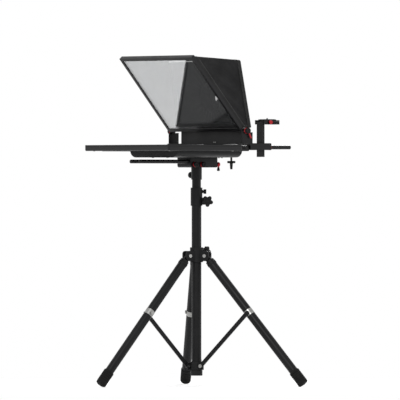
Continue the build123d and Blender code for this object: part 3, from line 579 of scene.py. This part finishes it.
class PROMPTER_OT_hood(Prompter, bpy.types.Operator):
    """Stretched cloth hood: sides and roof, rear panel with a gathered lens sleeve, tape and stitching"""
    bl_idname = "prompter.hood"
    bl_label = "Cloth hood"

    def execute(self, context):
        front_bottom, front_top, rear_top, rear_bottom, half = hood_profile()
        front = hood_loop(front_bottom, front_top, half, 26)
        rear = hood_loop(rear_bottom, rear_top, half, 26)
        spans, count = 30, len(front)
        verts = []
        for u in range(spans + 1):
            share = u / spans
            belly = sin(pi * share)
            for k in range(count):
                point = front[k].lerp(rear[k], share)
                place = k / (count - 1)
                roof = max(0.0, 1 - (abs(place - 0.5) / 0.17) ** 4)
                edge = sin(pi * min(1, max(0, place * 3 if place < 1 / 3 else (1 - place) * 3)))
                point.z -= S().sag * belly * roof
                point.z -= 0.0010 * belly * roof * sin(point.y * 62 + share * 3)
                inward = 0.0055 * belly * abs(edge)
                # shallow pulls that run from the frame corners
                pull = 0.0011 * sin(26 * (place * 3) + 9 * share) * belly * (0.4 + abs(edge))
                side = 0 if roof > 0.5 else (1 if place > 0.5 else -1)
                point.y -= side * (inward + pull)
                verts.append(point)
        faces = [(u * count + k, u * count + k + 1, (u + 1) * count + k + 1, (u + 1) * count + k)
                 for u in range(spans) for k in range(count - 1)]
        wrap = make_piece("hood_sides_and_roof", verts, faces, "duck", "hood", "black_cloth")
        solid_cloth(wrap, S().cloth)
        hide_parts("hood_cloth")

        for name, loop, other in (("front", front, rear), ("rear", rear, front)):
            self.tape(f"hood_tape_{name}", loop, other, S().tape)
        self.hem("hood_hem_near", front[0], rear[0], front[6], rear[6])
        self.hem("hood_hem_far", front[-1], rear[-1], front[-7], rear[-7])
        seams = self.stitches(front, rear)
        self.rear_panel(rear_top, rear_bottom, half)
        return {"FINISHED"}

    def tape(self, name, loop, other, width):
        """A tape that lies on the cloth along one edge loop."""
        verts, faces = [], []
        rows = 4
        for row in range(rows + 1):
            for k, point in enumerate(loop):
                toward = other[k] - point
                at = point + toward.normalized() * min(width * row / rows, toward.length * 0.45)
                out = Vector((0, -1, 0)) if k < len(loop) * 0.35 else Vector((0, 1, 0))
                if len(loop) * 0.35 <= k <= len(loop) * 0.65:
                    out = Vector((0, 0, 1))
                verts.append(at + out * 0.0009)
        count = len(loop)
        for row in range(rows):
            for k in range(count - 1):
                a = row * count + k
                faces.append((a, a + 1, a + 1 + count, a + count))
        piece = make_piece(name, verts, faces, "webbing", "hood", "black_cloth")
        solid_cloth(piece, 0.0011)
        return piece

    def hem(self, name, front_low, rear_low, front_up, rear_up):
        """The doubled hem along the hood's lower edge."""
        verts, faces = [], []
        out = Vector((0, -0.0009 if front_low.y < 0 else 0.0009, 0))
        steps, rows = 14, 3
        for row in range(rows + 1):
            for i in range(steps + 1):
                low = front_low.lerp(rear_low, i / steps)
                up = front_up.lerp(rear_up, i / steps)
                verts.append(low + (up - low).normalized() * (S().tape * 0.7 * row / rows) + out)
        for row in range(rows):
            for i in range(steps):
                a = row * (steps + 1) + i
                faces.append((a, a + 1, a + 2 + steps, a + 1 + steps))
        piece = make_piece(name, verts, faces, "webbing", "hood", "black_cloth")
        solid_cloth(piece, 0.0010)
        return piece

    def stitches(self, front, rear):
        """Short raised stitches along both tapes."""
        parts = []
        for loop, other in ((front, rear), (rear, front)):
            for k in range(1, len(loop) - 1):
                along = loop[k + 1] - loop[k]
                toward = (other[k] - loop[k]).normalized()
                count = max(1, round(along.length / 0.006))
                on_roof = abs(along.y) > abs(along.z)
                out = Vector((0, 0, 1)) if on_roof else Vector((0, -1 if loop[k].y < 0 else 1, 0))
                for i in range(count):
                    start = loop[k] + along * (i + 0.15) / count + toward * (S().tape - 0.002) + out * 0.0016
                    parts.append(swept([start, start + along * 0.6 / count], 0.00035, 5))
        verts, faces = joined(parts)
        return make_piece("hood_stitching", verts, faces, "thread", "hood", "black_cloth")

    def rear_panel(self, top, bottom, half):
        """One sheet from the rear frame to the lens opening, then out as a gathered sleeve."""
        up = top - bottom
        up.normalize()
        sleeve_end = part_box("hood_cloth")[1][0]
        lens_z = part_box("camera_plate")[1][2] + 0.086
        middle = bottom + up * ((lens_z - bottom.z) / up.z)
        steps, rings, radius = 120, 14, 0.061
        back = Vector((up.z, 0, -up.x))
        verts = []
        low_run, high_run = (middle - bottom).length, (top - middle).length
        for ring in range(rings + 1):
            share = ring / rings
            for i in range(steps):
                turn = 2 * pi * i / steps
                side, rise = cos(turn), sin(turn)
                reach = min((half - 0.002) / max(abs(side), 1e-6),
                            ((high_run - 0.003) if rise > 0 else (low_run - 0.001)) / max(abs(rise), 1e-6))
                at = reach * (1 - share) + radius * share
                point = middle + Vector((0, 1, 0)) * side * at + up * rise * at
                pucker = 0.0016 * share * share * sin(turn * 26) - 0.0035 * sin(pi * share)
                verts.append(point + back * pucker)
        length = sleeve_end - middle.x - 0.002
        tube_rings, gathers, drawn = 22, 22, S().lens_radius
        for ring in range(1, tube_rings + 1):
            share = ring / tube_rings
            # out along the sleeve, over a soft shoulder and in to the drawn mouth
            closing = max(0.0, (share - 0.30) / 0.70)
            reach = radius + (drawn - radius) * closing ** 0.85
            out = length * (share / 0.45 if share < 0.45 else 1 - 0.10 * (share - 0.45) / 0.55) * 0.98
            for i in range(steps):
                turn = 2 * pi * i / steps
                fold = sin(turn * gathers + 0.6 * sin(3 * turn))
                depth = 0.0013 * share + 0.0030 * closing * (1 - 0.55 * closing)
                at = reach + fold * depth * (0.4 if closing > 0.8 else 1)
                base = middle + Vector((0, cos(turn) * at, 0)) + up * sin(turn) * at
                flat = Vector((middle.x, cos(turn) * at, middle.z + sin(turn) * at))
                push = Vector((out + fold * depth * 0.8 * closing, 0, 0))
                verts.append(base.lerp(flat, min(1, share * 2)) + push)
        faces = []
        for ring in range(rings + tube_rings):
            for i in range(steps):
                a, b = ring * steps + i, ring * steps + (i + 1) % steps
                faces.append((a, b, b + steps, a + steps))
        piece = make_piece("hood_rear_and_sleeve", verts, faces, "duck", "hood", "black_cloth")
        solid_cloth(piece, S().cloth)
        # summed from the finished cloth, so it is no independent figure for the cut
        mouth = drawn + 0.0005
        points = [Vector((middle.x + length * 0.885, cos(t) * mouth, middle.z + sin(t) * mouth))
                  for t in (2 * pi * i / 48 for i in range(48))]
        cuff = make_piece("sleeve_draw_cord", *swept(points, 0.0022, 10, closed=True), "webbing", "hood",
                          "black_cloth")


class PROMPTER_OT_knob_trim(Prompter, bpy.types.Operator):
    """Black grips on the red clamps, and domed caps in the lobed knobs"""
    bl_idname = "prompter.knob_trim"
    bl_label = "Knob trim"
    HINGE = (0.060, 1.000)       # the hood's tilt axis in X and Z

    def execute(self, context):
        for node, axis, radius in (("rod_knob_1", (0, -1, 0), 0.0104), ("rod_knob_2", (0, -1, 0), 0.0104),
                                   ("riser_knob", (1, 0, 0), 0.0108), ("hinge_knob_near", (0, -1, 0), 0.0118),
                                   ("hinge_knob_far", (0, 1, 0), 0.0118)):
            self.knurled(node, Vector(axis), radius)
        self.lever("clamp_lever", Vector((1, 0, 0)), Vector((0, 0, -1)), 0.009, 0.0114)
        self.lever("plate_lever", Vector((0, -1, 0)), Vector((1, 0, 0)), 0.008, 0.0084)
        self.lobed_cap("mast_knob", Vector((-sin(AZIMUTH), -cos(AZIMUTH), 0)))
        self.lobed_cap("yoke_knob", Vector((1, 0, 0)))
        return {"FINISHED"}

    def ends(self, low, high, way):
        """Where a box begins and where it ends along one signed axis."""
        i = [k for k in range(3) if way[k]][0]
        return (low[i], high[i]) if way[i] > 0 else (-high[i], -low[i])

    def knurled(self, node, axis, radius):
        """A black knurled grip on a red collar, on its stem; hinge knobs have a curved red lever too."""
        low, high = (Vector(v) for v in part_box(node))
        inner, outer = self.ends(low, high, axis)
        middle = (low + high) / 2
        if node.startswith("hinge"):
            middle.x, middle.z = self.HINGE
        middle -= axis * middle.dot(axis)
        thick = 0.016 if node.startswith("hinge") else 0.014
        back = outer - thick
        stem = lathe([(0.0030, 0), (0.0030, back - inner)], middle + axis * inner, axis, 24)
        collar = lathe([(0.004, 0), (radius - 0.0005, 0), (radius, 0.0006), (radius, 0.0034),
                        (radius - 0.0006, 0.004), (0.004, 0.004)], middle + axis * back, axis, 40)
        red = [stem, collar]
        if node.startswith("hinge"):
            points = []
            for i in range(9):
                share = i / 8
                bend = Vector((0.006 + 0.010 * share + 0.004 * share ** 2, 0, -0.006 - 0.026 * share))
                points.append(middle + axis * (back + 0.0065) + bend)
            red.append(swept(points[:8], 0.0033, 12))
        piece = make_piece(f"{node}_collar", *joined(red), "red", node, "red_anodised")
        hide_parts(node)
        teeth, verts, faces = 28, [], []
        rows = ((0.0042, 0.90), (0.0048, 0.97), (thick - 0.0016, 0.97), (thick - 0.0006, 0.88),
                (thick - 0.0002, 0.55), (thick - 0.0010, 0.45), (thick - 0.0010, 0.03))
        side = axis.orthogonal().normalized()
        other = axis.cross(side)
        steps = teeth * 4
        for at, scale in rows:
            for i in range(steps):
                turn = 2 * pi * i / steps
                tooth = 0.0006 * (1 if i % 4 in (0, 1) else -0.4) * (scale > 0.8)
                verts.append(middle + axis * (back + at) + (side * cos(turn) + other * sin(turn))
                             * (radius * scale - 0.0006 + tooth))
        for row in range(len(rows) - 1):
            for i in range(steps):
                a, b = row * steps + i, row * steps + (i + 1) % steps
                faces.append((a, b, b + steps, a + steps))
        faces += [tuple(range(steps))[::-1], tuple(range(len(verts) - steps, len(verts)))]
        make_piece(f"{node}_grip", verts, faces, "nylon", node, "moulded_nylon")

    def lever(self, node, axis, toward, radius, thick):
        """A red hub on its stem, with a black tapered grip on a short neck."""
        low, high = (Vector(v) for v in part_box(node))
        inner, outer = self.ends(low, high, axis)
        near, far = self.ends(low, high, toward)
        middle = (low + high) / 2
        middle += toward * (near + radius - middle.dot(toward))
        middle -= axis * middle.dot(axis)
        back = outer - thick
        foot, face = back - inner, outer - inner
        hub = lathe([(0.003, 0), (0.003, foot), (radius - 0.0006, foot), (radius, foot + 0.0006),
                     (radius, face - 0.0022), (radius - 0.0014, face - 0.0008),
                     (radius * 0.45, face - 0.0006), (radius * 0.4, face - 0.0014),
                     (0.0003, face - 0.0014)], middle + axis * inner, axis, 40)
        neck = middle + axis * (back + thick * 0.6)
        length = far - near - radius
        start = radius - 0.0012
        neck_piece = lathe([(0.0026, start), (0.0026, start + 0.0045)], neck, toward, 20)
        piece = make_piece(f"{node}_hub", *joined([hub, neck_piece]), "red", node, "red_anodised")
        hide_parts(node)
        grip = lathe([(0.0028, start + 0.003), (0.0040, start + 0.0035), (0.0046, start + 0.0048),
                      (0.0046, length * 0.6), (0.0058, length * 0.8), (0.0060, length - 0.0040),
                      (0.0052, length - 0.0014), (0.0034, length - 0.0003), (0.0003, length)],
                     neck, toward, 24)
        make_piece(f"{node}_grip", *grip, "nylon", node, "moulded_nylon")

    def lobed_cap(self, node, axis):
        """A pressed-in disc with a raised rim on the knob's face."""
        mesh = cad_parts[node].data
        points = [v.co for v in mesh.vertices]
        reach = max(p.dot(axis) for p in points)
        ring = [p for p in points if p.dot(axis) > reach - 0.004]
        middle = sum(ring, Vector()) / len(ring)
        middle += axis * (reach - middle.dot(axis))
        profile = [(0.0105, -0.0005), (0.0105, 0.0008), (0.0098, 0.0014), (0.0088, 0.0014), (0.0084, 0.0006),
                   (0.0040, 0.0003), (0.0004, 0.0003)]
        make_piece(f"{node}_cap", *lathe(profile, middle, axis, 40), "nylon", node, "moulded_nylon")


class PROMPTER_OT_monitor_trim(Prompter, bpy.types.Operator):
    """Vent slats, an edge bead and screws on the monitor, screws under the tray and its rolled lip"""
    bl_idname = "prompter.monitor_trim"
    bl_label = "Monitor and tray trim"

    def execute(self, context):
        low, high = (Vector(v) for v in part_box("monitor_back"))
        tray_low, tray_high = (Vector(v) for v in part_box("tray"))
        slats = []
        for side in (-1, 1):
            for i in range(14):
                y = side * (tray_high.y + 0.022 + i * 0.0062)
                slats.append(bar(low.x + 0.07, low.x + 0.21, y - 0.0011, y + 0.0011,
                                 low.z - 0.0012, low.z + 0.0008, 0.0005))
        make_piece("monitor_vent_slats", *joined(slats), "abs", "head", "monitor_plastic")
        bead, corner = 0.0007, 0.006
        reach = corner - 0.0002
        loop = []
        for cx, cy, a0 in ((high.x - corner, high.y - corner, 0), (low.x + corner, high.y - corner, 90),
                           (low.x + corner, low.y + corner, 180), (high.x - corner, low.y + corner, 270)):
            for i in range(7):
                turn = radians(a0 + 15 * i)
                loop.append(Vector((cx + reach * cos(turn), cy + reach * sin(turn), high.z)))
        make_piece("monitor_shell_bead", *swept(loop, bead, 6, closed=True), "rubber", "head", "rubber")
        screws = []
        for x in (low.x + 0.025, high.x - 0.025):
            for y in (low.y + 0.03, high.y - 0.03):
                profile = [(0.0042, 0.0), (0.0042, 0.0008), (0.0030, 0.0016), (0.0014, 0.0018),
                           (0.0013, 0.0010), (0.0003, 0.0010)]
                screws.append(lathe(profile, (x, y, low.z), (0, 0, -1), 24))
        for y in (-0.05, 0.05):
            profile = [(0.0048, 0.0), (0.0048, 0.0012), (0.0036, 0.0022), (0.0018, 0.0024),
                       (0.0017, 0.0014), (0.0003, 0.0014)]
            screws.append(lathe(profile, (tray_low.x + 0.03, y, tray_low.z), (0, 0, -1), 24))
        make_piece("shell_screws", *joined(screws), "zinc", "head", "zinc_steel")
        # the tray's sheet edge is folded over into a small round lip on both sides and at -X
        lips = []
        for side in (-1, 1):
            y = side * (tray_high.y - 0.0008)
            lips.append(swept([Vector((tray_low.x, y, tray_high.z - 0.0016)),
                               Vector((tray_high.x, y, tray_high.z - 0.0016))], 0.0016, 12))
        end = tray_low.x + 0.0008
        lips.append(swept([Vector((end, -tray_high.y + 0.03, tray_low.z + 0.0015)),
                           Vector((end, tray_high.y - 0.03, tray_low.z + 0.0015))], 0.0014, 12))
        make_piece("tray_rolled_lip", *joined(lips), "powder_coat", "head", "painted_steel")
        return {"FINISHED"}


class PROMPTER_OT_support_trim(Prompter, bpy.types.Operator):
    """Grip strips on the camera plate, rings on the rods and legs, screws in the glass frame"""
    bl_idname = "prompter.support_trim"
    bl_label = "Support trim"

    def execute(self, context):
        low, high = (Vector(v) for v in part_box("quick_plate"))
        strips = []
        for side in (-1, 1):
            for i in range(5):
                x = low.x + 0.006 + i * 0.0105
                y0, y1 = sorted((side * 0.009, side * (high.y - 0.002)))
                strips.append(bar(x, x + 0.006, y0, y1, high.z - 0.0002, high.z + 0.0008, 0.0003))
        make_piece("camera_grip_strips", *joined(strips), "rubber", "quick_plate", "rubber")

        low, high = (Vector(v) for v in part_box("rear_rods"))
        rod = 0.0075
        profile = [(rod + 0.0003, 0.0), (rod + 0.0032, 0.0), (rod + 0.0036, 0.0006), (rod + 0.0036, 0.0035),
                   (rod + 0.0028, 0.0045), (rod + 0.0003, 0.0045)]
        for name, block, body in (("rod_mount_rings", "rod_mount", "head"),
                                  ("riser_rod_rings", "riser_block", "riser")):
            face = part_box(block)[1][0]
            rings = [self.ring(profile, (face, y, (low.z + high.z) / 2), (1, 0, 0))
                     for y in (low.y + rod, high.y - rod)]
            make_piece(name, *joined(rings), "red", body, "red_anodised")

        screws = []
        frame_low, frame_high = (Vector(v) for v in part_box("glass_frame"))
        glass_low, glass_high = (Vector(v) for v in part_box("beam_splitter"))
        slope = Vector((glass_low.x - glass_high.x, 0, glass_high.z - glass_low.z)).normalized()
        out = Vector((-slope.z, 0, slope.x))
        base = Vector((glass_high.x, 0, glass_low.z))
        front_x, hinge_z = 0.039, 1.0        # where the frame's front face crosses the hinge height
        lean = (glass_high.x - glass_low.x) / (glass_high.z - glass_low.z)
        # small countersunk screws along the frame's rails
        span = (Vector((glass_low.x, 0, glass_high.z)) - base).length
        for y in (frame_low.y + 0.007, frame_high.y - 0.007):
            for share in (0.08, 0.5, 0.92):
                at = base + slope * span * share
                at.y = y
                at.x = front_x - (at.z - hinge_z) * lean
                profile = [(0.0028, -0.0004), (0.0028, 0.0003), (0.0018, 0.0005), (0.0012, 0.0001),
                           (0.0003, 0.0001)]
                screws.append(lathe(profile, at, out, 20))
        make_piece("frame_rail_screws", *joined(screws), "black_anodised", "hood", "black_anodised")

        ring_from_foot = 0.585               # along the leg, from the middle of the foot up to the ring
        for i in (1, 2, 3):
            foot, tube = centre(f"rubber_foot_{i}"), centre(f"leg_tube_{i}")
            axis = (foot - tube).normalized()
            profile = [(0.0176, 0.0), (0.0186, 0.0004), (0.0189, 0.0016), (0.0189, 0.0105), (0.0184, 0.0118),
                       (0.0176, 0.0120)]
            at = foot - axis * ring_from_foot
            make_piece(f"leg_trim_ring_{i}", *self.ring(profile, at, axis), "nylon", f"leg_{i}",
                       "moulded_nylon")
        return {"FINISHED"}

    def ring(self, profile, start, axis, steps=40):
        """A closed ring: the profile goes round and back to its first point."""
        verts, faces = lathe(profile + [profile[0]], start, axis, steps)
        return verts, faces[:-2]


class PROMPTER_PT_panel(bpy.types.Panel):
    bl_label = "Teleprompter"
    bl_idname = "PROMPTER_PT_panel"
    bl_space_type = "VIEW_3D"
    bl_region_type = "UI"
    bl_category = "Teleprompter"

    def draw(self, context):
        for group in (S(), C()):
            for key in group.__annotations__:
                self.layout.prop(group, key)
        for operator in STEPS:
            self.layout.operator(operator.bl_idname)


STEPS = (PROMPTER_OT_stage, PROMPTER_OT_finishes, PROMPTER_OT_feet, PROMPTER_OT_hood, PROMPTER_OT_knob_trim,
         PROMPTER_OT_monitor_trim, PROMPTER_OT_support_trim)
CLASSES = (PrompterSizes, PrompterColours, *STEPS, PROMPTER_PT_panel)


def register():
    for cls in CLASSES:
        bpy.utils.register_class(cls)
    bpy.types.Scene.prompter_sizes = PointerProperty(type=PrompterSizes)
    bpy.types.Scene.prompter_colours = PointerProperty(type=PrompterColours)


def unregister():
    del bpy.types.Scene.prompter_colours
    del bpy.types.Scene.prompter_sizes
    for cls in reversed(CLASSES):
        bpy.utils.unregister_class(cls)


def main():
    register()
    bpy.ops.prompter.stage()
    bpy.ops.prompter.finishes()
    bpy.ops.prompter.feet()
    bpy.ops.prompter.hood()
    bpy.ops.prompter.knob_trim()
    bpy.ops.prompter.monitor_trim()
    bpy.ops.prompter.support_trim()


if __name__ == "__main__":
    main()
